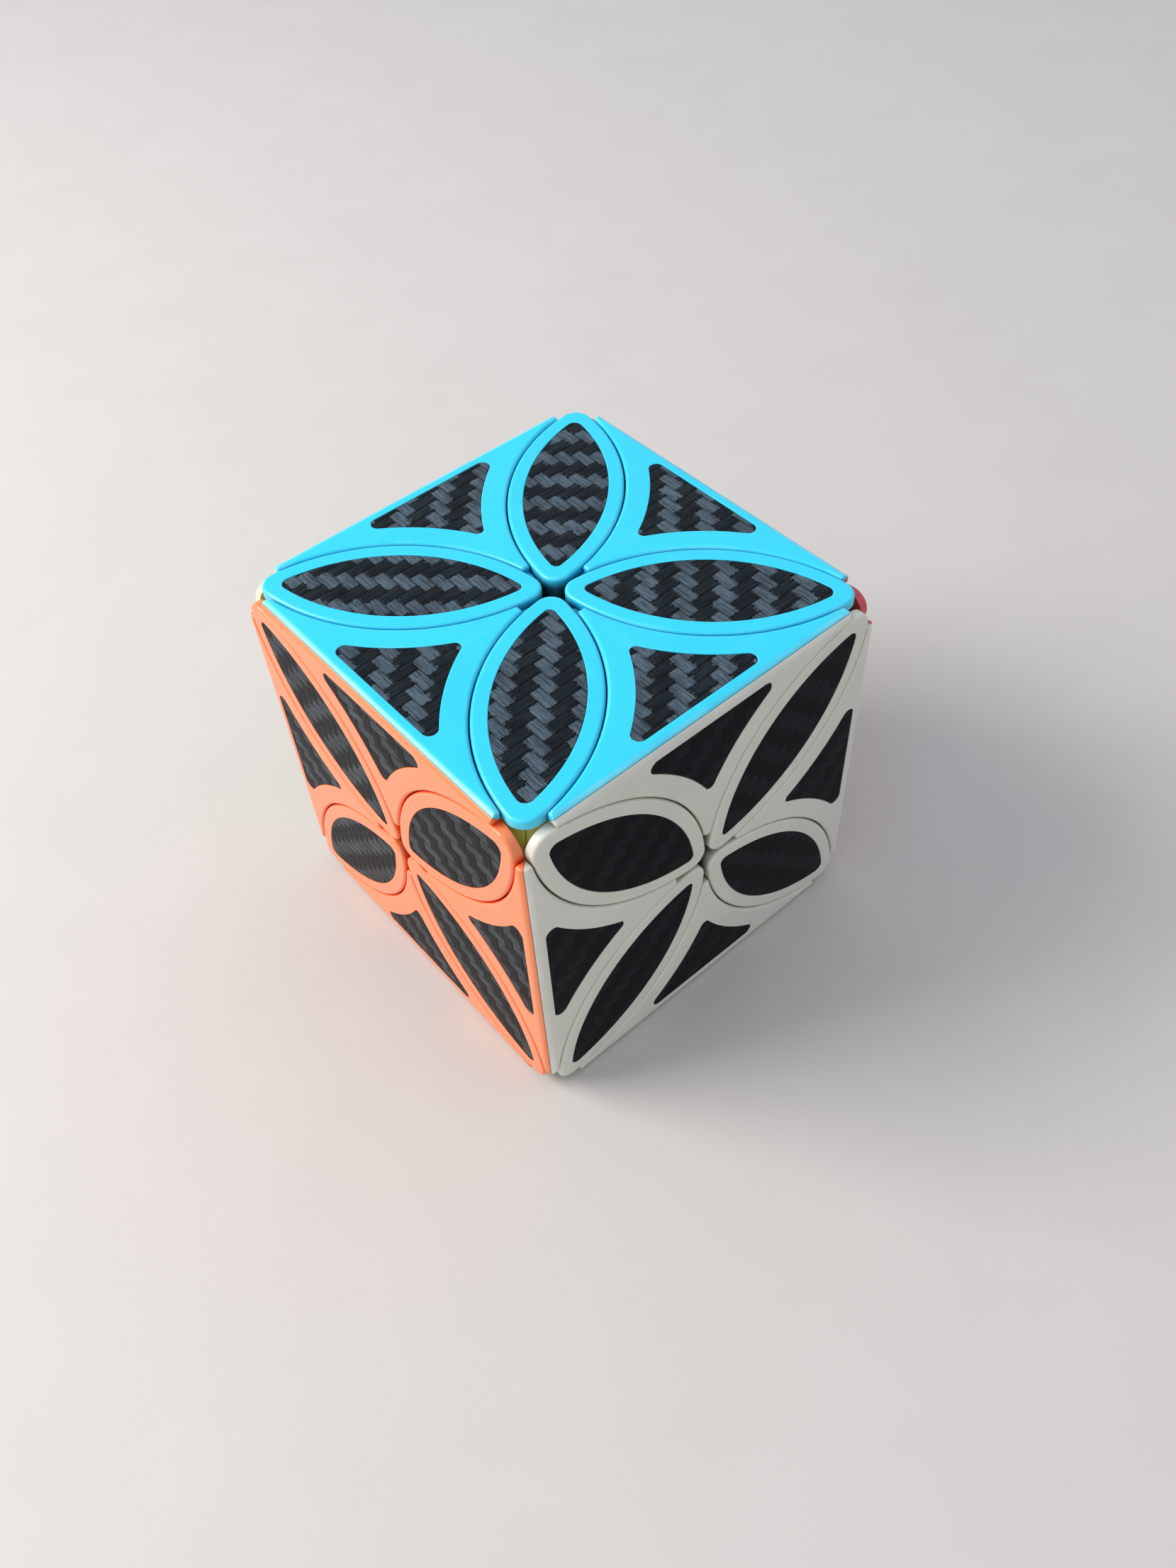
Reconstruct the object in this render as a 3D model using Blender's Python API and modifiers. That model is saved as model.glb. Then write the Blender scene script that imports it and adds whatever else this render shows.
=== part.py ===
"""An edge-turning puzzle cube: a core ball, twelve edges held by sprung screws, petals and corners.

Metres, +Z up, origin at the centre of the cube. Twelve axes run from the centre through the middles
of the cube's edges. Every cut between pieces is a surface turned about one of those axes, so each
edge can turn with the four petals and the two corners that lie inside its own cut.
"""

import itertools
import math

import bmesh
import bpy
import numpy as np
from mathutils import Matrix, Vector

MM = 0.001

# The cube
SIDE = 57.0 * MM
HALF = SIDE / 2
EDGE_ROUND = 1.4 * MM
EDGE_REACH = HALF * math.sqrt(2)  # from the centre of the cube to the middle of one of its edges

# The cut about each axis: a sphere centred just under the edge's middle, with a wide foot near the core
CUT_CENTRE = EDGE_REACH - 1.73 * MM
CUT_RADIUS = HALF - 1.35 * MM
CUT_TOP = EDGE_REACH + 5.0 * MM
FOOT_TOP = 19.5 * MM
FOOT_BOTTOM = 12.75 * MM
FOOT_ANGLE = math.radians(43.9)  # under 45 degrees, so that feet on square axes pass one another
CUT_STEPS = 24
CUT_RINGS = 4
GAP = 0.32 * MM

# Where the tiles stop short
EDGE_TILE_HALF_LENGTH = 0.41 * SIDE
EDGE_TIP_CLEARANCE = 0.092 * SIDE
PETAL_INNER_INSET = 0.010 * SIDE
PETAL_INNER_ROUND = 0.045 * SIDE
PETAL_OUTER_INSET = 0.026 * SIDE
PETAL_OUTER_ROUND = 0.075 * SIDE
CORNER_REACH = 43.5 * MM

# The core and its screws
CORE_RADIUS = 12.3 * MM
CORE_SEGMENTS = 20
SCREW_SHANK = 1.25 * MM
SCREW_END = 7.0 * MM
SCREW_HEAD = 2.6 * MM
SCREW_HEAD_TOP = 29.4 * MM
SCREW_HEAD_BOTTOM = 27.6 * MM
SCREW_SEGMENTS = 8
SPRING_BOTTOM = 22.6 * MM
SPRING_RADIUS = 2.1 * MM
SPRING_WIRE = 0.32 * MM
SPRING_TURNS = 2.25
SPRING_POINTS = 8  # to a turn
BORE = 1.6 * MM
THREAD_HOLE = 1.55 * MM
WELL_RADIUS = 3.0 * MM
WELL_BOTTOM = 22.0 * MM
WELL_TOP = 31.0 * MM

FACES = {
    "top": Vector((0, 0, 1)),
    "bottom": Vector((0, 0, -1)),
    "front": Vector((0, -1, 0)),
    "back": Vector((0, 1, 0)),
    "left": Vector((-1, 0, 0)),
    "right": Vector((1, 0, 0)),
}

# Finish of each plastic: linear colour, roughness, metallic
FINISHES = {
    "top": ((0.03, 0.58, 0.83), 0.42, 0.0),
    "bottom": ((0.10, 0.55, 0.12), 0.42, 0.0),
    "front": ((0.95, 0.26, 0.08), 0.42, 0.0),
    "back": ((0.60, 0.03, 0.07), 0.42, 0.0),
    "left": ((0.90, 0.75, 0.07), 0.42, 0.0),
    "right": ((0.78, 0.77, 0.70), 0.42, 0.0),
    "corner": ((0.42, 0.46, 0.05), 0.45, 0.0),
    "core": ((0.03, 0.03, 0.035), 0.55, 0.0),
    "steel": ((0.55, 0.56, 0.58), 0.30, 1.0),
}


def clear_scene():
    for obj in list(bpy.data.objects):
        bpy.data.objects.remove(obj, do_unlink=True)


def new_collection(name, hidden):
    collection = bpy.data.collections.new(name)
    bpy.context.scene.collection.children.link(collection)
    collection.hide_render = hidden
    return collection


def new_material(name, colour, roughness, metallic):
    material = bpy.data.materials.new(name)
    material.use_nodes = True
    shader = material.node_tree.nodes["Principled BSDF"]
    shader.inputs["Base Color"].default_value = (*colour, 1)
    shader.inputs["Roughness"].default_value = roughness
    shader.inputs["Metallic"].default_value = metallic
    return material


def add_object(name, mesh, collection, matrix=None):
    obj = bpy.data.objects.new(name, mesh)
    obj.matrix_world = matrix or Matrix.Identity(4)
    collection.objects.link(obj)
    return obj


def add_cutter(name, mesh, collection, matrix=None):
    obj = add_object(name, mesh, collection, matrix)
    obj.hide_render = True
    obj.display_type = "WIRE"
    return obj


def evaluated_mesh(obj, name):
    """The mesh of an object with its modifiers carried out."""
    bpy.context.view_layer.update()
    graph = bpy.context.evaluated_depsgraph_get()
    mesh = bpy.data.meshes.new_from_object(obj.evaluated_get(graph))
    mesh.name = name
    return mesh


def mesh_from_bmesh(name, bm):
    mesh = bpy.data.meshes.new(name)
    bm.to_mesh(mesh)
    bm.free()
    return mesh


def ball_mesh(name, radius, segments):
    bm = bmesh.new()
    bmesh.ops.create_uvsphere(bm, u_segments=segments, v_segments=segments // 2, radius=radius)
    return mesh_from_bmesh(name, bm)


def rod_mesh(name, radius, low, high, segments):
    """A rod along +Z between two heights."""
    bm = bmesh.new()
    bmesh.ops.create_cone(
        bm,
        cap_ends=True,
        segments=segments,
        radius1=radius,
        radius2=radius,
        depth=high - low,
        matrix=Matrix.Translation((0, 0, (low + high) / 2)),
    )
    return mesh_from_bmesh(name, bm)


def turned_mesh(name, profile, steps, collection):
    """A profile of (radius, height) pairs, from the top down, turned about Z by a Screw."""
    bm = bmesh.new()
    points = [bm.verts.new((radius, 0, height)) for radius, height in profile]
    for first, second in zip(points, points[1:]):
        bm.edges.new((first, second))
    obj = add_object(name, mesh_from_bmesh(name, bm), collection)
    screw = obj.modifiers.new("Turn", "SCREW")
    screw.axis = "Z"
    screw.angle = 2 * math.pi
    screw.steps = steps
    screw.render_steps = steps
    screw.use_merge_vertices = True
    screw.merge_threshold = 0.00001
    mesh = evaluated_mesh(obj, name)
    bpy.data.objects.remove(obj, do_unlink=True)
    return mesh


def cut_profile(grow):
    """The cut about an axis, as (radius, height along the axis), moved outwards by grow."""
    radius = CUT_RADIUS + grow
    foot_top = FOOT_TOP + grow
    foot_bottom = FOOT_BOTTOM - grow
    foot_angle = FOOT_ANGLE + grow / FOOT_TOP
    # where the sphere under the edge's middle meets the sphere at the top of the foot
    cosine = (foot_top**2 + CUT_CENTRE**2 - radius**2) / (2 * foot_top * CUT_CENTRE)
    neck_radius = foot_top * math.sin(math.acos(cosine))
    neck = math.asin(neck_radius / radius)
    profile = [(0, CUT_TOP), (radius, CUT_TOP)]
    for ring in range(CUT_RINGS + 1):
        angle = math.pi / 2 + (neck - math.pi / 2) * ring / CUT_RINGS
        profile.append((radius * math.sin(angle), CUT_CENTRE - radius * math.cos(angle)))
    for distance in (foot_top, foot_bottom):
        profile.append((distance * math.sin(foot_angle), distance * math.cos(foot_angle)))
    half_foot = foot_angle / 2
    profile.append((foot_bottom * math.sin(half_foot), foot_bottom * math.cos(half_foot)))
    profile.append((0, foot_bottom))
    return profile


def cube_turns():
    """The 24 rotations that carry a cube onto itself."""
    turns = []
    for order in itertools.permutations(range(3)):
        for signs in itertools.product((1, -1), repeat=3):
            matrix = np.zeros((3, 3))
            for row, column in enumerate(order):
                matrix[row, column] = signs[row]
            if np.linalg.det(matrix) > 0:
                turns.append(Matrix(matrix.tolist()))
    return turns


def frame_along(axis):
    """The rotation that carries +Z to an axis, with X kept in a plane of symmetry of the cube."""
    z = Vector(axis).normalized()
    flat = next(face for face in FACES.values() if abs(face.dot(z)) < 0.1)
    x = flat.cross(z).normalized()
    return Matrix((x, z.cross(x), z)).transposed().to_4x4()


def face_name(direction):
    return next(name for name, face in FACES.items() if (face - direction).length < 0.1)


def name_of(directions):
    """Face names joined in one order, so that every piece is named the same way."""
    names = [face_name(direction) for direction in directions]
    return "_".join(sorted(names, key=list(FACES).index))


def blank_mesh(collection):
    """The whole cube with rounded edges, before it is cut into pieces."""
    bm = bmesh.new()
    bmesh.ops.create_cube(bm, size=SIDE)
    obj = add_object("blank", mesh_from_bmesh("blank", bm), collection)
    bevel = obj.modifiers.new("Round", "BEVEL")
    bevel.width = EDGE_ROUND
    bevel.segments = 2
    mesh = evaluated_mesh(obj, "blank")
    bpy.data.objects.remove(obj, do_unlink=True)
    return mesh


def carve(name, start, steps, collection, solver="EXACT"):
    """A mesh carried through a list of (operation, cutter) Booleans."""
    obj = add_object(name, start, collection)
    for operation, cutter in steps:
        boolean = obj.modifiers.new(cutter.name, "BOOLEAN")
        boolean.operation = operation
        boolean.object = cutter
        boolean.solver = solver
    mesh = evaluated_mesh(obj, name)
    bpy.data.objects.remove(obj, do_unlink=True)
    mesh.shade_smooth()
    mesh.set_sharp_from_angle(angle=math.radians(30))
    return mesh


def edge_end_cutter(collection):
    """A block that keeps the length of an edge piece, along Y."""
    bm = bmesh.new()
    bmesh.ops.create_cube(bm, size=1)
    bmesh.ops.scale(bm, verts=bm.verts, vec=(2 * SIDE, 2 * EDGE_TILE_HALF_LENGTH, 2 * SIDE))
    return add_cutter("edge_length", mesh_from_bmesh("edge_length", bm), collection)


def petal_tips_cutter(collection):
    """A square column that rounds both tips of the petal, seen from above."""
    low, high = PETAL_INNER_INSET, HALF - PETAL_OUTER_INSET
    middle, size = (low + high) / 2, high - low
    bm = bmesh.new()
    bmesh.ops.create_cube(bm, size=1)
    bmesh.ops.scale(bm, verts=bm.verts, vec=(size, size, 2 * SIDE))
    bmesh.ops.translate(bm, verts=bm.verts, vec=(middle, middle, 0))
    for end, radius in ((low, PETAL_INNER_ROUND), (high, PETAL_OUTER_ROUND)):
        corner = Vector((end, end))
        upright = [
            edge
            for edge in bm.edges
            if all((vert.co.xy - corner).length < 0.1 * MM for vert in edge.verts)
        ]
        bmesh.ops.bevel(bm, geom=upright, offset=radius, segments=4, affect="EDGES", profile=0.5)
    return add_cutter("petal_tips", mesh_from_bmesh("petal_tips", bm), collection)


def screw_mesh(collection):
    """A screw along +Z with its washer face and its spring, which presses the edge inwards."""
    profile = [
        (0, SCREW_HEAD_TOP),
        (SCREW_HEAD * 0.8, SCREW_HEAD_TOP),
        (SCREW_HEAD, SCREW_HEAD_TOP - 0.5 * MM),
        (SCREW_HEAD, SCREW_HEAD_BOTTOM),
        (SCREW_SHANK, SCREW_HEAD_BOTTOM),
        (SCREW_SHANK, SCREW_END + SCREW_SHANK),
        (0, SCREW_END),
    ]
    screw = turned_mesh("screw", profile, SCREW_SEGMENTS, collection)
    spring = add_cutter("spring", spring_mesh(collection), collection)
    return carve("screw_with_spring", screw, [("UNION", spring)], collection)


def spring_mesh(collection):
    """A coil whose last turn runs up into the underside of the screw's head."""
    curve = bpy.data.curves.new("spring", "CURVE")
    curve.dimensions = "3D"
    curve.bevel_depth = SPRING_WIRE
    curve.bevel_resolution = 0
    curve.use_fill_caps = True
    count = round(SPRING_TURNS * SPRING_POINTS) + 1
    spline = curve.splines.new("POLY")
    spline.points.add(count - 1)
    top = SCREW_HEAD_BOTTOM + SPRING_WIRE / 4
    for index, point in enumerate(spline.points):
        angle = 2 * math.pi * index / SPRING_POINTS
        height = SPRING_BOTTOM + (top - SPRING_BOTTOM) * index / (count - 1)
        point.co = (SPRING_RADIUS * math.cos(angle), SPRING_RADIUS * math.sin(angle), height, 1)
    obj = add_object("spring", curve, collection)
    mesh = evaluated_mesh(obj, "spring")
    bpy.data.objects.remove(obj, do_unlink=True)
    bm = bmesh.new()
    bm.from_mesh(mesh)
    bmesh.ops.remove_doubles(bm, verts=bm.verts, dist=0.00001)
    bmesh.ops.recalc_face_normals(bm, faces=bm.faces)
    bm.to_mesh(mesh)
    bm.free()
    return mesh


class Cutters:
    """The hidden tools that divide the cube, one inner and one outer cut for each axis."""

    def __init__(self, collection):
        self.collection = collection
        # a cut turned in flat steps is nearer its axis between two steps, so the outer one is larger
        shortfall = CUT_RADIUS * (1 / math.cos(math.pi / CUT_STEPS) - 1)
        self.inner_mesh = turned_mesh(
            "inner_cut", cut_profile(-GAP / 2), CUT_STEPS, collection
        )
        self.outer_mesh = turned_mesh(
            "outer_cut", cut_profile(GAP / 2 + shortfall), CUT_STEPS, collection
        )

    def inside(self, axis):
        name = "inside_" + "_".join(f"{value:+.0f}" for value in axis)
        return self.placed(name, self.inner_mesh, axis)

    def outside(self, axis):
        name = "outside_" + "_".join(f"{value:+.0f}" for value in axis)
        return self.placed(name, self.outer_mesh, axis)

    def placed(self, name, mesh, axis):
        if name in bpy.data.objects:
            return bpy.data.objects[name]
        return add_cutter(name, mesh, self.collection, frame_along(axis))

    def rod(self, name, radius, low, high, axis, segments=12):
        mesh = rod_mesh(name, radius, low, high, segments)
        return add_cutter(name, mesh, self.collection, frame_along(axis))


def petal_mesh(blank, cutters):
    """The petal of the top face that points to the back right corner."""
    steps = [
        ("INTERSECT", cutters.inside((1, 0, 1))),
        ("INTERSECT", cutters.inside((0, 1, 1))),
        ("DIFFERENCE", cutters.outside((1, 1, 0))),
        ("INTERSECT", petal_tips_cutter(cutters.collection)),
    ]
    return carve("petal", blank.copy(), steps, cutters.collection)


def edge_mesh(blank, cutters):
    """The edge between the top and the right face, with its screw well and bore."""
    axis = (1, 0, 1)
    neighbours = ((1, 1, 0), (1, -1, 0), (0, 1, 1), (0, -1, 1))
    steps = [("INTERSECT", cutters.inside(axis))]
    steps += [("DIFFERENCE", cutters.outside(neighbour)) for neighbour in neighbours]
    steps += [
        ("INTERSECT", edge_end_cutter(cutters.collection)),
        ("DIFFERENCE", cutters.rod("tip_top", EDGE_TIP_CLEARANCE, 0, SIDE, (0, 0, 1))),
        ("DIFFERENCE", cutters.rod("tip_right", EDGE_TIP_CLEARANCE, 0, SIDE, (1, 0, 0))),
        ("DIFFERENCE", cutters.rod("bore", BORE, 0, WELL_TOP - 1 * MM, axis, SCREW_SEGMENTS)),
        ("DIFFERENCE", cutters.rod("well", WELL_RADIUS, WELL_BOTTOM, WELL_TOP, axis)),
    ]
    # cuts that mirror one another meet in coinciding lines here, which the EXACT solver leaves open
    return carve("edge", blank.copy(), steps, cutters.collection, "MANIFOLD")


def corner_mesh(blank, cutters):
    """The hidden corner at the top back right, seen only between the tips of three petals."""
    ball = add_cutter(
        "corner_end", ball_mesh("corner_end", CORNER_REACH, 32), cutters.collection
    )
    steps = [("INTERSECT", cutters.inside(axis)) for axis in ((1, 0, 1), (0, 1, 1), (1, 1, 0))]
    steps.append(("INTERSECT", ball))
    # as on the edge, three cuts meet in coinciding lines
    return carve("corner", blank.copy(), steps, cutters.collection, "MANIFOLD")


def core_mesh(cutters, axes):
    ball = ball_mesh("core", CORE_RADIUS, CORE_SEGMENTS)
    steps = []
    for index, axis in enumerate(axes):
        hole = cutters.rod(
            f"thread_{index}", THREAD_HOLE, SCREW_END - 1 * MM, SIDE, axis, SCREW_SEGMENTS
        )
        steps.append(("DIFFERENCE", hole))
    # the screw holes meet the ball's own rings and seams exactly
    return carve("core", ball, steps, cutters.collection, "MANIFOLD")


def colour_by_side(mesh, first, second):
    """Slot 0 for faces nearer the first direction's face, slot 1 for those nearer the second's."""
    for polygon in mesh.polygons:
        polygon.material_index = int(polygon.center.dot(second) > polygon.center.dot(first))


def give_materials(obj, materials):
    for slot, material in zip(obj.material_slots, materials):
        slot.link = "OBJECT"
        slot.material = material


def main():
    clear_scene()
    parts = new_collection("twisty_puzzle_cube", hidden=False)
    helpers = new_collection("twisty_puzzle_cube_cutters", hidden=True)
    materials = {name: new_material(name, *finish) for name, finish in FINISHES.items()}
    cutters = Cutters(helpers)
    blank = blank_mesh(helpers)
    top, right, back = FACES["top"], FACES["right"], FACES["back"]

    axes = []
    for turn in cube_turns():
        axis = turn @ (top + right)
        if not any((axis - other).length < 0.1 for other in axes):
            axes.append(axis)

    core = core_mesh(cutters, axes)
    petal = petal_mesh(blank, cutters)
    edge = edge_mesh(blank, cutters)
    corner = corner_mesh(blank, cutters)
    screw = screw_mesh(helpers)
    screw.transform(frame_along(top + right))
    colour_by_side(edge, top, right)
    for mesh, slots in ((core, 1), (petal, 1), (edge, 2), (corner, 1), (screw, 1)):
        for _ in range(slots):
            mesh.materials.append(materials["core"])

    give_materials(add_object("core", core, parts), [materials["core"]])
    for turn in cube_turns():
        turned = turn.to_4x4()
        face, side, end = turn @ top, turn @ right, turn @ back
        # every turn carries the pattern petal to its own place
        name = f"petal_{face_name(face)}_{name_of((side, end))}"
        give_materials(add_object(name, petal, parts, turned), [materials[face_name(face)]])
        # two turns carry the pattern edge to one place, and three do so with the corner
        name = f"edge_{name_of((face, side))}"
        if name not in bpy.data.objects:
            colours = [materials[face_name(face)], materials[face_name(side)]]
            give_materials(add_object(name, edge, parts, turned), colours)
            name = f"screw_{name_of((face, side))}"
            give_materials(add_object(name, screw, parts, turned), [materials["steel"]])
        name = f"corner_{name_of((face, side, end))}"
        if name not in bpy.data.objects:
            give_materials(add_object(name, corner, parts, turned), [materials["corner"]])


main()
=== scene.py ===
"""Looks of an edge-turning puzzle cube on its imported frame: moulded petals and tiles with woven panels.

Every shell is lofted from a flat outline on the cube's top face, then cut by surfaces turned about
the cube's twelve axes, so that it keeps the room its part needs to turn. The 24 turns of a cube
place the copies.
"""

import functools
import itertools
import math

import bmesh
import bpy
import numpy as np
from mathutils import Matrix, Quaternion, Vector


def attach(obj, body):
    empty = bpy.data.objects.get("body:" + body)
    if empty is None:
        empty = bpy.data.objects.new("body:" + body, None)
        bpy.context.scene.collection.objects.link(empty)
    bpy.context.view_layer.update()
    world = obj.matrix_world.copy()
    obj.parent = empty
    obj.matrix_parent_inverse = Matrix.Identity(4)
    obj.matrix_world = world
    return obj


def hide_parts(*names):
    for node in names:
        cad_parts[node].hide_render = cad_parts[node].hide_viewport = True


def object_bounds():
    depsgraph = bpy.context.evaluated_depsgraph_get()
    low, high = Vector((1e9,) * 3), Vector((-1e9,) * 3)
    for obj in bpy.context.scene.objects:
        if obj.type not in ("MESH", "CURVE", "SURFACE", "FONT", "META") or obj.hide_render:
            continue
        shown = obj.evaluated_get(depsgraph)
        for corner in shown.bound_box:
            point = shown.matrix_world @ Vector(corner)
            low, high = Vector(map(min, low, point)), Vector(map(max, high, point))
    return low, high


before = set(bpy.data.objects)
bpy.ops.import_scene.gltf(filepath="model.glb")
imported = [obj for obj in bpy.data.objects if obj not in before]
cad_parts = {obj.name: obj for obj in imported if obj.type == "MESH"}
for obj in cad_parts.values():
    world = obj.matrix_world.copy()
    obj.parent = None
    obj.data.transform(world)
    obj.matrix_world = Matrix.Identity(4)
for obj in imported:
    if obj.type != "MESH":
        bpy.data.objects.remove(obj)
cad_low, cad_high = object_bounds()

MM = 0.001
SIDE = cad_high.z - cad_low.z
HALF = SIDE / 2
EDGE_REACH = HALF * math.sqrt(2)  # from the centre of the cube to the middle of one of its edges

# The cut about each axis, as on the frame but turned in finer steps, which lets the gap be finer too
CUT_CENTRE = EDGE_REACH - 1.73 * MM
CUT_RADIUS = HALF - 1.35 * MM
CUT_TOP = EDGE_REACH + 5.0 * MM
FOOT_TOP = 19.5 * MM
FOOT_BOTTOM = 12.75 * MM
FOOT_ANGLE = math.radians(43.9)
CUT_STEPS = 120
CUT_RINGS = 18
FOOT_TOP_RINGS = 4
FOOT_BOTTOM_RINGS = 6
GAP = 0.12 * MM
ARC_CENTRE = CUT_CENTRE / math.sqrt(2)  # from the middle of a face to the centre of the arcs on it
PETAL_MIDDLE = ARC_CENTRE / math.sqrt(2)  # from the middle of a face to the middle of a petal

# Shells
EDGE_ROUND = 1.4 * MM  # along the edges of the cube
EDGE_ROUND_STEPS = 8
RIM_ROUND = 0.45 * MM  # round every petal and tile
RIM_RINGS = 5
SUPPORT = 0.05 * MM  # a ring beside each rounding that keeps the flat beside it flat
PETAL_ARC = CUT_RADIUS - 0.10 * MM
PETAL_OUTER_TIP = 2.4 * MM
PETAL_INNER_TIP = 2.25 * MM
PETAL_BOTTOM = 6.0 * MM
TILE_ARC = CUT_RADIUS + 0.07 * MM
TILE_HALF_LENGTH = 23.35 * MM
TILE_END_ROUND = 0.3 * MM
TILE_INNER_END = 5.3 * MM
TILE_INNER_ROUND = 0.35 * MM
TILE_CENTRE = 24.0 * MM
CAP_BOTTOM = 23.0 * MM
CAP_SEAM = 0.06 * MM
SPARE = 2 * MM  # how far tiles start below CAP_BOTTOM, to be cut back to it
LEDGE_START = 3.6 * MM
LEDGE_ROUND = 0.12 * MM
LEDGE_DROP = 1.0 * MM
LEDGE_INSET = 0.05 * MM
LEDGE_RIM = 0.3 * MM
LEDGE_RINGS = 3
CORNER_REACH = 43.5 * MM
GROOVE_LENGTH, GROOVE_WIDTH, GROOVE_DEPTH = 8.0 * MM, 0.14 * MM, 0.9 * MM

# Woven panels and the pockets they lie in
POCKET_DEPTH = 0.25 * MM
POCKET_RIM = 0.10 * MM
FILM_DROP = 0.05 * MM
FILM_GAP = 0.05 * MM
FILM_RIM = 0.05 * MM
PETAL_FILM_ARC = 24.95 * MM
PETAL_FILM_OUTER = 1.1 * MM
PETAL_FILM_INNER = 0.8 * MM
TILE_FILM_ARC = 30.5 * MM
TILE_FILM_BASE = HALF - 2.0 * MM
TILE_FILM_CORNER = 1.05 * MM
TILE_FILM_APEX = 0.8 * MM
SOFT = 0.3  # where the one ring between the two ends of a small rounding lies

# The dark base under the tiles of an edge
BASE_REACH = CAP_BOTTOM - 0.05 * MM
BASE_HALF_LENGTH = 23.3 * MM
BORE = 1.6 * MM
WELL_RADIUS = 3.0 * MM
WELL_BOTTOM = 22.0 * MM
WELL_TOP = 33.0 * MM

# How finely the outlines are worked out
SHELL_RAYS, POCKET_RAYS, FILM_RAYS = 130, 90, 150
LEAST_TURN = 0.0025  # between one ray and the next
BEND_SHARE = 1.2  # of the rays, against 1 shared out by length
SAMPLES = 6001
TOUCH_STEPS = 40
HALVINGS = 48

FACES = {
    "top": Vector((0, 0, 1)),
    "bottom": Vector((0, 0, -1)),
    "front": Vector((0, -1, 0)),
    "back": Vector((0, 1, 0)),
    "left": Vector((-1, 0, 0)),
    "right": Vector((1, 0, 0)),
}
SLOTS = {
    "top": "blue_plastic",
    "bottom": "green_plastic",
    "front": "orange_plastic",
    "back": "red_plastic",
    "left": "yellow_plastic",
    "right": "ivory_plastic",
}
EDGE_AXIS = (1, 0, 1)  # of the edge between the top and the right face, which is the one modelled
NEIGHBOUR_AXES = ((1, 1, 0), (1, -1, 0), (0, 1, 1), (0, -1, 1))
NO_TURN = Matrix.Identity(4)
INSIDE, OUTSIDE, LINE = "inside", "outside", "line"


# ---------------------------------------------------------------- flat outlines


def side_depth(side, points):
    """How far points lie on the kept side of a circle or a line."""
    kind, x, y, size = side
    if kind == LINE:
        return size - points @ np.array([x, y])
    distance = np.hypot(points[..., 0] - x, points[..., 1] - y)
    return size - distance if kind == INSIDE else distance - size


def side_outward(side, point):
    """The direction in which a point leaves the kept side of a circle or a line."""
    kind, x, y, _ = side
    if kind == LINE:
        return np.array([x, y], float)
    away = point - np.array([x, y])
    away = away / np.linalg.norm(away)
    return away if kind == INSIDE else -away


class Outline:
    """A flat outline of arcs and lines whose corners are rounded by circles that touch both sides.

    A side is (kind, x, y, radius) for a circle and (LINE, x, y, distance) for a line with that
    outward direction. A rounding is (first side, second side, radius, a point near its centre).
    """

    def __init__(self, centre, sides, rounds):
        self.centre = np.array(centre, float)
        self.sides = sides
        self.rounds = []
        for first, second, radius, start in rounds:
            middle = np.array(start, float)
            for _ in range(TOUCH_STEPS):
                outward = np.array([side_outward(sides[k], middle) for k in (first, second)])
                error = np.array([side_depth(sides[k], middle) - radius for k in (first, second)])
                middle = middle + np.linalg.solve(outward, error)
            self.rounds.append((middle, radius, np.linalg.inv(outward.T)))

    def depth(self, points):
        """How far points lie inside the outline."""
        depth = np.min([side_depth(side, points) for side in self.sides], axis=0)
        for middle, radius, inverse in self.rounds:
            beyond = points - middle
            share = beyond @ inverse.T
            within = (share > 0).all(axis=-1)
            rounded = radius - np.hypot(beyond[..., 0], beyond[..., 1])
            depth = np.where(within, np.minimum(depth, rounded), depth)
        return depth

    def ring(self, level, angles):
        """The points at one depth, one on each ray from the centre."""
        rays = np.stack([np.cos(angles), np.sin(angles)], axis=-1)
        near, far = np.zeros(len(angles)), np.full(len(angles), SIDE)
        for _ in range(HALVINGS):
            middle = (near + far) / 2
            inner = self.depth(self.centre + rays * middle[:, None]) > level
            near, far = np.where(inner, middle, near), np.where(inner, far, middle)
        return self.centre + rays * near[:, None]

    def angles(self, count):
        """Angles of rays that lie close together where the outline bends."""
        angles = np.linspace(0, 2 * math.pi, SAMPLES)
        points = self.ring(0, angles)
        step = np.diff(points, axis=0)
        length = np.hypot(step[:, 0], step[:, 1])
        heading = np.unwrap(np.arctan2(step[:, 1], step[:, 0]))
        bend = np.abs(np.diff(heading, append=heading[-1]))
        weight = length / length.sum() + BEND_SHARE * bend / bend.sum()
        total = np.concatenate([[0], np.cumsum(weight)])
        return np.interp(np.linspace(0, total[-1], count, endpoint=False), total, angles)


def merged_angles(*outlines):
    """The rays of (outline, count) pairs together, without rays that nearly coincide."""
    angles = np.sort(np.concatenate([outline.angles(count) for outline, count in outlines]))
    kept = [angles[0]]
    for angle in angles[1:]:
        if angle - kept[-1] > LEAST_TURN:
            kept.append(angle)
    return np.array(kept)


def lens(arc, outer_tip, inner_tip):
    """Two arcs that meet in rounded tips, along X from the middle of the face."""
    return Outline(
        (PETAL_MIDDLE, 0),
        [(INSIDE, PETAL_MIDDLE, -PETAL_MIDDLE, arc), (INSIDE, PETAL_MIDDLE, PETAL_MIDDLE, arc)],
        [
            (0, 1, outer_tip, (PETAL_MIDDLE + 12 * MM, 0)),
            (0, 1, inner_tip, (PETAL_MIDDLE - 14 * MM, 0)),
        ],
    )


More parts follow.
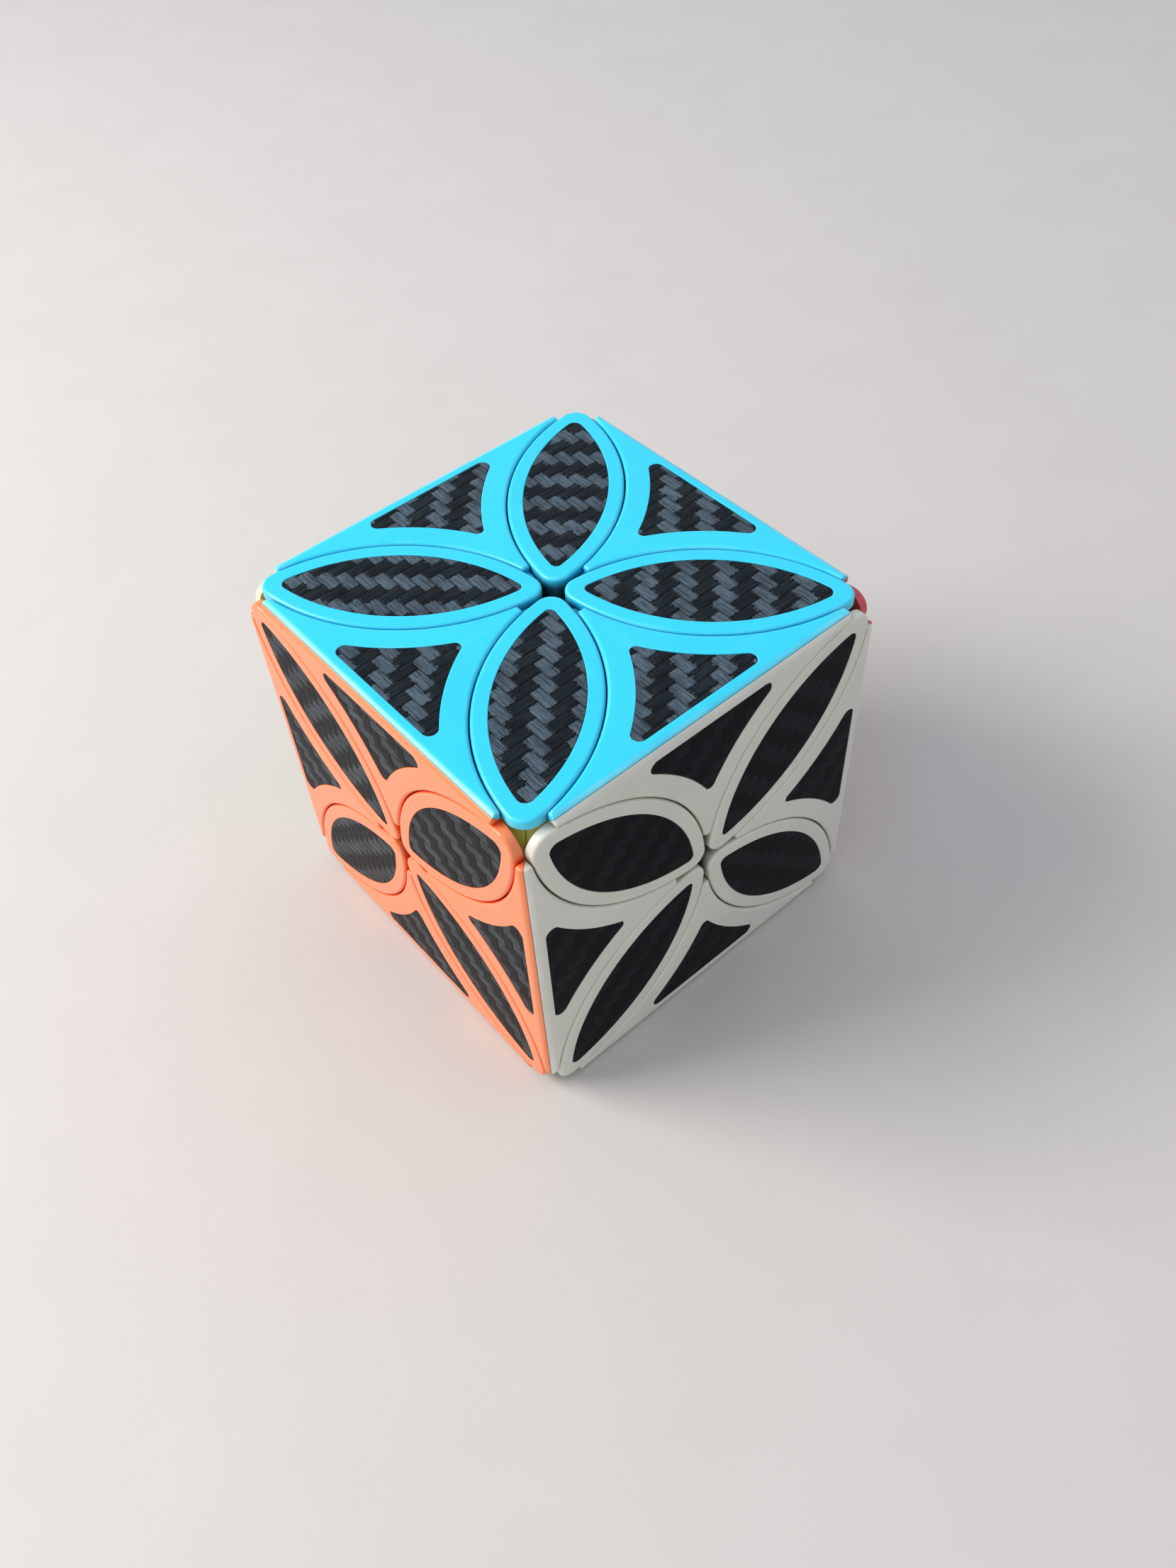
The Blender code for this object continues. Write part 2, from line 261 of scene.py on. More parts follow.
PETAL = lens(PETAL_ARC, PETAL_OUTER_TIP, PETAL_INNER_TIP)
PETAL_FILM = lens(PETAL_FILM_ARC, PETAL_FILM_OUTER, PETAL_FILM_INNER)
TILE = Outline(
    (TILE_CENTRE, 0),
    [
        (OUTSIDE, 0, -ARC_CENTRE, TILE_ARC),
        (OUTSIDE, 0, ARC_CENTRE, TILE_ARC),
        (LINE, -1, 0, -TILE_INNER_END),
        (LINE, 0, -1, TILE_HALF_LENGTH),
        (LINE, 0, 1, TILE_HALF_LENGTH),
        (LINE, 1, 0, HALF + 3 * MM),
    ],
    [
        (0, 2, TILE_INNER_ROUND, (TILE_INNER_END + 0.5 * MM, -0.3 * MM)),
        (1, 2, TILE_INNER_ROUND, (TILE_INNER_END + 0.5 * MM, 0.3 * MM)),
        (0, 3, TILE_END_ROUND, (HALF, -TILE_HALF_LENGTH + TILE_END_ROUND)),
        (1, 4, TILE_END_ROUND, (HALF, TILE_HALF_LENGTH - TILE_END_ROUND)),
    ],
)
TILE_FILM = Outline(
    (TILE_CENTRE, 0),
    [
        (OUTSIDE, 0, -ARC_CENTRE, TILE_FILM_ARC),
        (OUTSIDE, 0, ARC_CENTRE, TILE_FILM_ARC),
        (LINE, 1, 0, TILE_FILM_BASE),
    ],
    [
        (0, 1, TILE_FILM_APEX, (16 * MM, 0)),
        (0, 2, TILE_FILM_CORNER, (25 * MM, -9 * MM)),
        (1, 2, TILE_FILM_CORNER, (25 * MM, 9 * MM)),
    ],
)


# ---------------------------------------------------------------- meshes


def add_object(name, mesh):
    obj = bpy.data.objects.new(name, mesh)
    bpy.context.scene.collection.objects.link(obj)
    return obj


def mesh_from_bmesh(name, bm):
    mesh = bpy.data.meshes.new(name)
    bm.to_mesh(mesh)
    bm.free()
    return mesh


def evaluated_mesh(obj, name):
    """The mesh of an object with its modifiers carried out; the object itself is removed."""
    bpy.context.view_layer.update()
    graph = bpy.context.evaluated_depsgraph_get()
    mesh = bpy.data.meshes.new_from_object(obj.evaluated_get(graph))
    mesh.name = name
    bpy.data.objects.remove(obj, do_unlink=True)
    return mesh


def loft(name, rings, centre):
    """A closed mesh through (points, height) rings, from the bottom up, with a fan at each end."""
    bm = bmesh.new()
    loops = [[bm.verts.new((x, y, height)) for x, y in points] for points, height in rings]
    count = len(loops[0])
    for low, high in zip(loops, loops[1:]):
        for k in range(count):
            after = (k + 1) % count
            bm.faces.new((low[k], low[after], high[after], high[k]))
    bottom = bm.verts.new((*centre, rings[0][1]))
    top = bm.verts.new((*centre, rings[-1][1]))
    for k in range(count):
        after = (k + 1) % count
        bm.faces.new((bottom, loops[0][after], loops[0][k]))
        bm.faces.new((top, loops[-1][k], loops[-1][after]))
    return mesh_from_bmesh(name, bm)


def shell_mesh(name, outline, film, bottom):
    """A shell with a rounded rim and a shallow pocket for its film."""
    angles = merged_angles((outline, SHELL_RAYS), (film, POCKET_RAYS))
    rings = [(outline.ring(0, angles), bottom)]
    for k in range(RIM_RINGS + 1):
        turn = k * math.pi / 2 / RIM_RINGS
        level = RIM_ROUND * (1 - math.cos(turn))
        rings.append((outline.ring(level, angles), HALF - RIM_ROUND * (1 - math.sin(turn))))
    rings.append((outline.ring(RIM_ROUND + SUPPORT, angles), HALF))
    for level, drop in (
        (-POCKET_RIM - SUPPORT, 0),
        (-POCKET_RIM, 0),
        (-SOFT * POCKET_RIM, SOFT * POCKET_RIM),
        (0, POCKET_RIM),
        (0, POCKET_DEPTH),
        (SUPPORT, POCKET_DEPTH),
    ):
        rings.append((film.ring(level, angles), HALF - drop))
    return loft(name, rings, film.centre)


def film_mesh(name, film):
    """A thin panel with a softened edge that lies in its pocket."""
    angles = merged_angles((film, FILM_RAYS))
    top = HALF - FILM_DROP
    rings = []
    for inset, height in (
        (0, HALF - POCKET_DEPTH),
        (0, top - FILM_RIM),
        (SOFT * FILM_RIM, top - SOFT * FILM_RIM),
        (FILM_RIM, top),
        (2 * FILM_RIM, top),
    ):
        rings.append((film.ring(FILM_GAP + inset, angles), height))
    mesh = loft(name, rings, film.centre)
    mesh.materials.append(None)
    mesh.shade_smooth()
    mesh.set_sharp_from_angle(angle=math.radians(50))
    return mesh


def turned_mesh(name, profile, steps):
    """A profile of (radius, height) pairs, turned about Z: it runs down from the axis and back to it."""
    bm = bmesh.new()
    turns = [2 * math.pi * k / steps for k in range(steps)]
    top = bm.verts.new((0, 0, profile[0][1]))
    bottom = bm.verts.new((0, 0, profile[-1][1]))
    loops = [
        [bm.verts.new((radius * math.cos(t), radius * math.sin(t), height)) for t in turns]
        for radius, height in profile[1:-1]
    ]
    for k in range(steps):
        after = (k + 1) % steps
        bm.faces.new((top, loops[0][k], loops[0][after]))
        bm.faces.new((bottom, loops[-1][after], loops[-1][k]))
        for high, low in zip(loops, loops[1:]):
            bm.faces.new((high[k], low[k], low[after], high[after]))
    return mesh_from_bmesh(name, bm)


def rod_mesh(name, radius, low, high):
    """A rod along +Z between two heights."""
    bm = bmesh.new()
    bmesh.ops.create_cone(
        bm,
        cap_ends=True,
        segments=32,
        radius1=radius,
        radius2=radius,
        depth=high - low,
        matrix=Matrix.Translation((0, 0, (low + high) / 2)),
    )
    return mesh_from_bmesh(name, bm)


def box_mesh(name, size):
    bm = bmesh.new()
    bmesh.ops.create_cube(bm, size=1)
    bmesh.ops.scale(bm, verts=bm.verts, vec=size)
    return mesh_from_bmesh(name, bm)


def carve(name, start, steps):
    """A mesh carried through a list of (operation, cutter mesh, cutter matrix) Booleans."""
    obj = add_object(name, start)
    helpers = []
    for operation, cutter, matrix in steps:
        helper = add_object("cutter", cutter)
        helper.matrix_world = matrix
        helpers.append(helper)
        boolean = obj.modifiers.new("Cut", "BOOLEAN")
        boolean.operation = operation
        boolean.object = helper
        boolean.solver = "MANIFOLD"
    mesh = evaluated_mesh(obj, name)
    for helper in helpers:
        bpy.data.objects.remove(helper, do_unlink=True)
    mesh.materials.clear()
    mesh.materials.append(None)
    mesh.shade_smooth()
    mesh.set_sharp_from_angle(angle=math.radians(25))
    # large flat faces rule the normals, so that no streaks run across them from the rounded rims
    obj = add_object(name, mesh)
    weighted = obj.modifiers.new("Normals", "WEIGHTED_NORMAL")
    weighted.keep_sharp = True
    return evaluated_mesh(obj, name)


# ---------------------------------------------------------------- cuts about the cube's axes


def cut_profile(grow):
    """The cut about an axis, as (radius, height along the axis), moved outwards by grow."""
    radius = CUT_RADIUS + grow
    foot_top = FOOT_TOP + grow
    foot_bottom = FOOT_BOTTOM - grow
    foot_angle = FOOT_ANGLE + grow / FOOT_TOP
    cosine = (foot_top**2 + CUT_CENTRE**2 - radius**2) / (2 * foot_top * CUT_CENTRE)
    neck = math.asin(foot_top * math.sin(math.acos(cosine)) / radius)
    profile = [(0, CUT_TOP), (radius, CUT_TOP)]
    for ring in range(CUT_RINGS + 1):
        angle = math.pi / 2 + (neck - math.pi / 2) * ring / CUT_RINGS
        profile.append((radius * math.sin(angle), CUT_CENTRE - radius * math.cos(angle)))
    neck_angle = math.asin(profile[-1][0] / foot_top)
    for ring in range(1, FOOT_TOP_RINGS + 1):
        angle = neck_angle + (foot_angle - neck_angle) * ring / FOOT_TOP_RINGS
        profile.append((foot_top * math.sin(angle), foot_top * math.cos(angle)))
    for ring in range(FOOT_BOTTOM_RINGS + 1):
        angle = foot_angle * (1 - ring / FOOT_BOTTOM_RINGS)
        profile.append((foot_bottom * math.sin(angle), foot_bottom * math.cos(angle)))
    return profile


def frame_along(axis):
    """The rotation that carries +Z to an axis, with X kept in a plane of symmetry of the cube."""
    z = Vector(axis).normalized()
    flat = next(face for face in FACES.values() if abs(face.dot(z)) < 0.1)
    x = flat.cross(z).normalized()
    return Matrix((x, z.cross(x), z)).transposed().to_4x4()


INNER_CUT = turned_mesh("inner_cut", cut_profile(-GAP / 2), CUT_STEPS)
OUTER_CUT = turned_mesh("outer_cut", cut_profile(GAP / 2), CUT_STEPS)


def inside(axis):
    return ("INTERSECT", INNER_CUT, frame_along(axis))


def outside(axis):
    return ("DIFFERENCE", OUTER_CUT, frame_along(axis))


# ---------------------------------------------------------------- pieces


def cap_block():
    """The room of one tile: from its base to the face, round at the cube's edge and cut at its seam."""
    seam = CAP_SEAM / 2 * math.sqrt(2)
    far = -5 * MM  # past the middle of the face
    section = [(far, CAP_BOTTOM), (CAP_BOTTOM - seam, CAP_BOTTOM)]
    middle = HALF - EDGE_ROUND
    for k in range(EDGE_ROUND_STEPS + 1):
        turn = math.radians(45 + 45 * k / EDGE_ROUND_STEPS)
        x = middle + EDGE_ROUND * math.cos(turn) - (seam if k == 0 else 0)
        section.append((x, middle + EDGE_ROUND * math.sin(turn)))
    section.append((far, HALF))
    bm = bmesh.new()
    ends = [[bm.verts.new((x, y, z)) for x, z in section] for y in (-HALF, HALF)]
    bm.faces.new(ends[0])
    bm.faces.new(reversed(ends[1]))
    for k in range(len(section)):
        after = (k + 1) % len(section)
        bm.faces.new((ends[0][after], ends[0][k], ends[1][k], ends[1][after]))
    bmesh.ops.recalc_face_normals(bm, faces=bm.faces)
    return mesh_from_bmesh("cap_block", bm)


def ledge_mesh():
    """The lower step that runs from the inner end of a tile towards the middle of the face."""
    sides = list(TILE.sides)
    sides[2] = (LINE, -1, 0, -LEDGE_START)
    near = LEDGE_START + LEDGE_ROUND
    rounds = [(0, 2, LEDGE_ROUND, (near, -LEDGE_ROUND)), (1, 2, LEDGE_ROUND, (near, LEDGE_ROUND))]
    outline = Outline(TILE.centre, sides, rounds)
    angles = merged_angles((outline, SHELL_RAYS))
    rings = [(outline.ring(0, angles), CAP_BOTTOM - SPARE)]
    for k in range(LEDGE_RINGS + 1):
        turn = k * math.pi / (2 * LEDGE_RINGS)
        level = LEDGE_INSET + LEDGE_RIM * (1 - math.cos(turn))
        height = HALF - LEDGE_DROP - LEDGE_RIM * (1 - math.sin(turn))
        rings.append((outline.ring(level, angles), height))
    return loft("ledge", rings, outline.centre)


def petal_mesh():
    """The petal of the top face that points to the back right corner."""
    shell = shell_mesh("petal", PETAL, PETAL_FILM, PETAL_BOTTOM)
    shell.transform(Matrix.Rotation(math.radians(45), 4, "Z"))
    return carve("petal_shell", shell, [inside((1, 0, 1)), inside((0, 1, 1)), outside((1, 1, 0))])


def petal_film_mesh():
    film = film_mesh("petal_film", PETAL_FILM)
    film.transform(Matrix.Rotation(math.radians(45), 4, "Z"))
    return film


def tile_mesh():
    """The top tile of the edge between the top and the right face."""
    steps = [("UNION", ledge_mesh(), NO_TURN), ("INTERSECT", cap_block(), NO_TURN), inside(EDGE_AXIS)]
    steps += [outside(axis) for axis in NEIGHBOUR_AXES]
    shell = shell_mesh("tile", TILE, TILE_FILM, CAP_BOTTOM - SPARE)
    return carve("tile_shell", shell, steps)


def base_mesh():
    """What both tiles of that edge sit on, down to the foot, with its screw well and bore."""
    along = frame_along(EDGE_AXIS)
    steps = [inside(EDGE_AXIS)]
    steps += [outside(axis) for axis in NEIGHBOUR_AXES]
    steps += [
        ("INTERSECT", box_mesh("length", (2 * SIDE, 2 * BASE_HALF_LENGTH, 2 * SIDE)), NO_TURN),
        ("DIFFERENCE", rod_mesh("bore", BORE, 0, WELL_TOP), along),
        ("DIFFERENCE", rod_mesh("well", WELL_RADIUS, WELL_BOTTOM, WELL_TOP), along),
    ]
    reach = 2 * BASE_REACH
    return carve("edge_base", box_mesh("block", (reach, reach * 1.1, reach)), steps)


def corner_mesh():
    """The corner at the top back right, in three fields that meet in a fine Y-shaped seam."""
    bm = bmesh.new()
    bmesh.ops.create_uvsphere(bm, u_segments=128, v_segments=64, radius=CORNER_REACH)
    steps = [inside(axis) for axis in ((1, 0, 1), (0, 1, 1), (1, 1, 0))]
    out = Vector((1, 1, 1)).normalized()
    for face in (FACES["top"], FACES["right"], FACES["back"]):
        # each groove runs from the middle of the corner towards one edge of the cube
        along = (out * out.dot(face) - face).normalized()
        across = out.cross(along)
        place = Matrix((along, across, out)).transposed().to_4x4()
        place.translation = out * CORNER_REACH + along * GROOVE_LENGTH / 2
        groove = box_mesh("groove", (GROOVE_LENGTH, GROOVE_WIDTH, GROOVE_DEPTH))
        steps.append(("DIFFERENCE", groove, place))
    return carve("corner_shell", mesh_from_bmesh("ball", bm), steps)


# ---------------------------------------------------------------- materials

# linear colours of the open face; of the gaps, a painted shade and glow; and of the rounded edges, wear
# with a painted highlight that is a deep painted glow on the orange
PLASTICS = {
    "top": ((0.024, 0.650, 0.900), (0.010, 0.420, 0.680), (0.300, 0.850, 0.950)),
    "bottom": ((0.060, 0.480, 0.110), (0.010, 0.210, 0.030), (0.300, 0.680, 0.330)),
    "front": ((0.910, 0.275, 0.110), (1.000, 0.080, 0.006), (1.000, 0.190, 0.040)),
    "back": ((0.640, 0.028, 0.055), (0.380, 0.004, 0.012), (0.850, 0.230, 0.240)),
    "left": ((0.900, 0.800, 0.420), (0.640, 0.480, 0.110), (0.960, 0.900, 0.680)),
    "right": ((0.690, 0.680, 0.590), (0.550, 0.520, 0.400), (0.840, 0.830, 0.760)),
}
CORNER_PALE = ((0.66, 0.62, 0.40), (0.40, 0.34, 0.12), (0.80, 0.78, 0.60))
CORNER_LIME = ((0.80, 0.80, 0.07), (0.62, 0.62, 0.03), (0.86, 0.86, 0.25))
CORE_DARK = ((0.016, 0.020, 0.032), (0.004, 0.006, 0.012), (0.060, 0.065, 0.080))
HOLE_TOP = HALF - 0.4 * MM  # below this, painted shade darkens the walls round the hole in the middle of a face
HOLE_FADE = 1.2 * MM
HOLE_NEAR, HOLE_FAR = 3.5 * MM, 6.0 * MM  # from the axis of the face

# the lit tows' lighter colour is a painted sheen: the weave's reflection of the light, put into the base
# colour
FILM_DARK, FILM_LIT = (0.004, 0.005, 0.006), (0.095, 0.142, 0.182)
# how much painted sheen each face's films carry: full on the top, faint on the front, near none on the
# right; it also sets their relief
FILM_SHINE = {"top": 1.0, "bottom": 0.6, "front": 0.32, "back": 0.6, "left": 0.6, "right": 0.04}
TOW = 1.72 * MM  # width of one band of the weave
FIBRES = 7.0  # ridges across one tow
REPEAT = 4.0  # tows after which the twill repeats


class Nodes:
    """A short way to write a material's node tree."""

    def __init__(self, name):
        self.material = bpy.data.materials.new(name)
        self.material.use_nodes = True
        self.tree = self.material.node_tree
        self.shader = self.tree.nodes["Principled BSDF"]

    def add(self, kind, **settings):
        node = self.tree.nodes.new(kind)
        for key, value in settings.items():
            setattr(node, key, value)
        return node

    def feed(self, socket, value):
        if isinstance(value, bpy.types.NodeSocket):
            self.tree.links.new(value, socket)
        else:
            socket.default_value = value

    def math(self, operation, *values, clamp=False):
        node = self.add("ShaderNodeMath", operation=operation, use_clamp=clamp)
        for socket, value in zip(node.inputs, values):
            self.feed(socket, value)
        return node.outputs[0]

    def plus(self, first, second):
        return self.math("ADD", first, second)

    def minus(self, first, second):
        return self.math("SUBTRACT", first, second)

    def times(self, first, second):
        return self.math("MULTIPLY", first, second)

    def flat_topped(self, value, power, share):
        """One, less a share of a high power of a value's size, so that it falls only near the ends."""
        raised = self.math("POWER", self.math("ABSOLUTE", value), power)
        return self.minus(1.0, self.times(raised, share))

    def vector(self, operation, *values):
        node = self.add("ShaderNodeVectorMath", operation=operation)
        for socket, value in zip(node.inputs, values):
            self.feed(socket, value)
        return node.outputs[0]

    def mix(self, factor, first, second):
        node = self.add("ShaderNodeMix", data_type="RGBA")
        for socket, value in zip((node.inputs[0], node.inputs[6], node.inputs[7]), (factor, first, second)):
            if isinstance(value, tuple):
                value = (*value, 1)
            self.feed(socket, value)
        return node.outputs[2]

    def span(self, value, low, high, to_low, to_high):
        """A value carried from one range to another, held at its ends."""
        node = self.add("ShaderNodeMapRange")
        for socket, number in zip(node.inputs, (value, low, high, to_low, to_high)):
            self.feed(socket, number)
        return node.outputs[0]

    def place(self):
        """Coordinates in the piece's own space."""
        return self.add("ShaderNodeTexCoord").outputs["Object"]

    def own_place(self):
        """The same, shifted so that no two copies look alike."""
        shift = self.add("ShaderNodeObjectInfo").outputs["Random"]
        return self.vector("ADD", self.place(), self.vector("SCALE", (0.37, 0.61, 0.83), shift))

    def split(self, vector):
        node = self.add("ShaderNodeSeparateXYZ")
        self.feed(node.inputs[0], vector)
        return node.outputs

    def combine(self, x, y):
        node = self.add("ShaderNodeCombineXYZ")
        self.feed(node.inputs[0], x)
        self.feed(node.inputs[1], y)
        return node.outputs[0]

    def noise(self, place, scale, detail=2.0, rough=0.5):
        node = self.add("ShaderNodeTexNoise")
        self.feed(node.inputs["Vector"], place)
        self.feed(node.inputs["Scale"], scale)
        self.feed(node.inputs["Detail"], detail)
        self.feed(node.inputs["Roughness"], rough)
        return node.outputs["Fac"]

    def bump(self, height, distance, strength=1.0, normal=None):
        node = self.add("ShaderNodeBump")
        self.feed(node.inputs["Height"], height)
        self.feed(node.inputs["Distance"], distance)
        self.feed(node.inputs["Strength"], strength)
        if normal is not None:
            self.feed(node.inputs["Normal"], normal)
        return node.outputs[0]

    def set(self, **inputs):
        for name, value in inputs.items():
            self.feed(self.shader.inputs[name.replace("_", " ")], value)


def plastic(name, colours, roughness=0.28, shade_hole=False):
    """Satin moulded plastic with a fine grain, painted shade and glow in its gaps, and worn rounded edges
    that carry a painted highlight.

    Where asked, painted shade also darkens the walls round the hole in the middle of its face.
    """
    colour, gap_shade_and_glow, rounded = colours
    n = Nodes(name)
    place = n.own_place()
    patches = n.noise(place, 90, 3)
    grain = n.noise(place, 5200, 2, 0.6)
    soft = n.noise(place, 700, 3, 0.6)
    # painted shade and glow: where ambient occlusion finds walls close by, the colour turns to the darker,
    # more saturated gap colour
    hidden = n.add("ShaderNodeAmbientOcclusion", samples=8)
    n.feed(hidden.inputs["Distance"], 2.0 * MM)
    gap = n.span(hidden.outputs["AO"], 0.25, 0.9, 1.0, 0.0)
    # worn rounded edges, found by pointiness, whose colour is also a painted highlight (a painted glow on
    # the orange face)
    point = n.add("ShaderNodeNewGeometry").outputs["Pointiness"]
    edge = n.times(n.span(point, 0.505, 0.56, 0.0, 1.0), n.span(patches, 0.4, 0.65, 0.15, 0.6))
    tint = n.mix(n.span(patches, 0.3, 0.7, 0.0, 1.0), tuple(c * 0.94 for c in colour), colour)
    tint = n.mix(gap, tint, gap_shade_and_glow)
    if shade_hole:
        # painted shade on the walls round the hole in the middle of the face, deepening below HOLE_TOP
        x, y, z = n.split(n.place())
        below = n.span(z, HOLE_TOP, HOLE_TOP - HOLE_FADE, 0.0, 1.0)
        from_axis = n.math("SQRT", n.plus(n.times(x, x), n.times(y, y)))
        near = n.span(from_axis, HOLE_NEAR, HOLE_FAR, 1.0, 0.0)
        tint = n.mix(n.times(below, near), tint, tuple(0.2 * c * c for c in gap_shade_and_glow))
    tint = n.mix(edge, tint, rounded)
    n.set(
        Base_Color=tint,
        Roughness=n.span(patches, 0.3, 0.7, roughness - 0.03, roughness + 0.05),
        Subsurface_Weight=0.2,
        Subsurface_Radius=(1.0, 0.7, 0.5),
        Subsurface_Scale=1.2 * MM,
        Specular_IOR_Level=0.5,
    )
    uneven = n.bump(soft, 0.006 * MM, 0.3)
    n.set(Normal=n.bump(grain, 0.003 * MM, 0.4, uneven))
    return n.material


@functools.cache
def woven_film(crosswise, lean, shine):
    """Dark film pressed with a two-over-two twill of flat tows, each of fine fibres along its length.

    The tows with a painted sheen run along the film's own X, or along Y when crosswise. The steps
    from one to the next climb away from both axes when lean is 1, and along one of them when it is -1.
    """
    n = Nodes(f"woven_film_{int(crosswise)}_{lean + 1}_{round(100 * shine)}")
    x, y, _ = n.split(n.place())
    along, over = (y, x) if crosswise else (x, y)
    p, q = n.math("DIVIDE", along, TOW), n.math("DIVIDE", over, TOW)

    def ragged(lengthways, crossways):
        """A coordinate whose cell walls are ragged, because each fibre ends a little early or late."""
        place = n.combine(n.times(crossways, FIBRES), n.times(lengthways, 0.5))
        shift = n.minus(n.noise(place, 1.0, 1), 0.5)
        return n.plus(lengthways, n.times(shift, 0.8))

    p_end, q_end = ragged(p, q), ragged(q, p)
    column, row = n.math("FLOOR", p_end), n.math("FLOOR", q_end)
    leaned_row = n.times(row, float(lean))
    step = n.math("FLOORED_MODULO", n.minus(column, leaned_row), REPEAT)
    lit = n.math("LESS_THAN", step, 1.5)
    unlit = n.minus(1.0, lit)

    def pick(when_lit, otherwise):
        return n.plus(n.times(when_lit, lit), n.times(otherwise, unlit))

    # place across the tow that shows, and from -1 to 1 along the two cells that it floats over
    across = n.minus(pick(n.math("FRACT", q), n.math("FRACT", p)), 0.5)
    lit_float = n.minus(n.math("FLOORED_MODULO", n.minus(p, leaned_row), REPEAT), 1.0)
    unlit_float = n.math("FLOORED_MODULO", n.minus(column, n.times(q, float(lean))), REPEAT)
    unlit_float = n.minus(unlit_float, 2.0 if lean > 0 else 3.0)
    sides = n.flat_topped(across, 5.0, 24.0)
    ends = n.flat_topped(pick(lit_float, unlit_float), 10.0, 0.7)
    crown = n.times(sides, ends)

    # fibres: a ridge for each, broken up by noise that is drawn out along the tow
    drawn = n.noise(n.combine(n.times(pick(p, q), 0.6), n.times(pick(q, p), 8.0)), 1.0, 2, 0.6)
    ridge = n.math("PINGPONG", n.plus(n.times(across, FIBRES), n.times(drawn, 1.5)), 0.5)
    fibre = n.plus(ridge, n.times(drawn, 0.5))
    patches = n.noise(n.own_place(), 260, 3)

    # painted sheen: the lit tows get a lighter base colour, scaled by the face's shine
    glow = n.times(n.span(crown, 0.2, 0.85, 0.1, 1.0), n.span(fibre, 0.3, 0.75, 0.12, 1.35))
    glow = n.times(glow, n.span(patches, 0.3, 0.7, 0.6, 1.3))
    bright = n.times(n.plus(n.times(lit, 0.88), 0.12), shine)
    shown = n.math("MULTIPLY", glow, bright, clamp=True)
    n.set(
        Base_Color=n.mix(shown, FILM_DARK, FILM_LIT),
        Roughness=n.span(fibre, 0.3, 0.8, 0.46, 0.32),
        Specular_IOR_Level=n.span(shown, 0.0, 0.5, 0.03, 0.22),
    )
    relief = n.bump(crown, 0.14 * MM, 0.05 + 0.95 * shine)
    n.set(Normal=n.bump(fibre, 0.03 * MM, 0.05 + 0.75 * shine, relief))
    return n.material


def steel():
    n = Nodes("steel")
    scratch = n.noise(n.vector("MULTIPLY", n.own_place(), (900, 900, 9000)), 1.0, 3)
    n.set(
        Base_Color=n.mix(scratch, (0.42, 0.43, 0.45), (0.62, 0.63, 0.65)),
        Metallic=1.0,
        Roughness=n.span(scratch, 0.3, 0.7, 0.22, 0.4),
    )
    n.set(Normal=n.bump(scratch, 0.01 * MM, 0.4))
    return n.material


# ---------------------------------------------------------------- the whole cube


def cube_turns():
    """The 24 rotations that carry a cube onto itself."""
    turns = []
    for order in itertools.permutations(range(3)):
        for signs in itertools.product((1, -1), repeat=3):
            matrix = np.zeros((3, 3))
            for row, column in enumerate(order):
                matrix[row, column] = signs[row]
            if np.linalg.det(matrix) > 0:
                turns.append(Matrix(matrix.tolist()))
    return turns


def face_name(direction):
    return next(name for name, face in FACES.items() if (face - direction).length < 0.1)


def name_of(directions):
    """Face names joined in the order of the frame's own node names."""
    names = [face_name(direction) for direction in directions]
    return "_".join(sorted(names, key=list(FACES).index))


def film_for(turn, face, centre, leans):
    """The weave of one film: on every face the lit tows run the same way.

    The weave leans one way on films whose centre is towards one side of the face, and may lean the
    other way on the rest: leans holds both.
    """
    level = FACES["front"] if abs(face.x) > 0.5 else FACES["right"]
    rise = FACES["back"] if abs(face.z) > 0.5 else FACES["top"]
    back = turn.transposed()
    lean = leans[0] if (turn @ Vector(centre)).dot(level) < 0 else leans[1]
    stripe = back @ (level * lean + rise)
    crosswise = abs((back @ level).y) > 0.5
    return woven_film(crosswise, 1 if stripe.x * stripe.y > 0 else -1, FILM_SHINE[face_name(face)])


def put(name, mesh, turn, body, material, slot=None):
    """A copy of a mesh that rides on a body; one with a slot stands in for that body's own solid."""
    piece = add_object(name, mesh)
    piece.matrix_world = turn.to_4x4()
    piece.material_slots[0].link = "OBJECT"
    piece.material_slots[0].material = material
    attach(piece, body)
    if slot:
        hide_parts(body)


def build_cube():
    shells = {name: plastic(SLOTS[name], PLASTICS[name], shade_hole=True) for name in FACES}
    pale = plastic("corner_pale", CORNER_PALE)
    lime = plastic("corner_lime", CORNER_LIME)
    dark = plastic("core_plastic", CORE_DARK, 0.45)
    metal = steel()
    petal, petal_film = petal_mesh(), petal_film_mesh()
    tile, tile_film = tile_mesh(), film_mesh("tile_film", TILE_FILM)
    base, corner = base_mesh(), corner_mesh()

    done = set()
    for turn in cube_turns():
        face, side, end = (turn @ FACES[name] for name in ("top", "right", "back"))
        colour = face_name(face)
        body = f"petal_{colour}_{name_of((side, end))}"
        put(f"{body}_shell", petal, turn, body, shells[colour], SLOTS[colour])
        put(f"{body}_film", petal_film, turn, body, film_for(turn, face, (1, 1, 0), (1, -1)))
        body = f"edge_{name_of((face, side))}"
        put(f"{body}_tile_{colour}", tile, turn, body, shells[colour], SLOTS[colour])
        weave = film_for(turn, face, (1, 0, 0), (-1, -1))
        put(f"{body}_film_{colour}", tile_film, turn, body, weave)
        if body not in done:
            done.add(body)
            put(f"{body}_base", base, turn, body, dark)
        body = f"corner_{name_of((face, side, end))}"
        if body not in done:
            done.add(body)
            material = lime if body == "corner_top_front_right" else pale
            put(f"{body}_shell", corner, turn, body, material, "corner_plastic")

    for name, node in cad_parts.items():
        if name == "core" or name.startswith("screw"):
            for slot in node.material_slots:
                slot.material = dark if name == "core" else metal


# ---------------------------------------------------------------- floor, light and camera

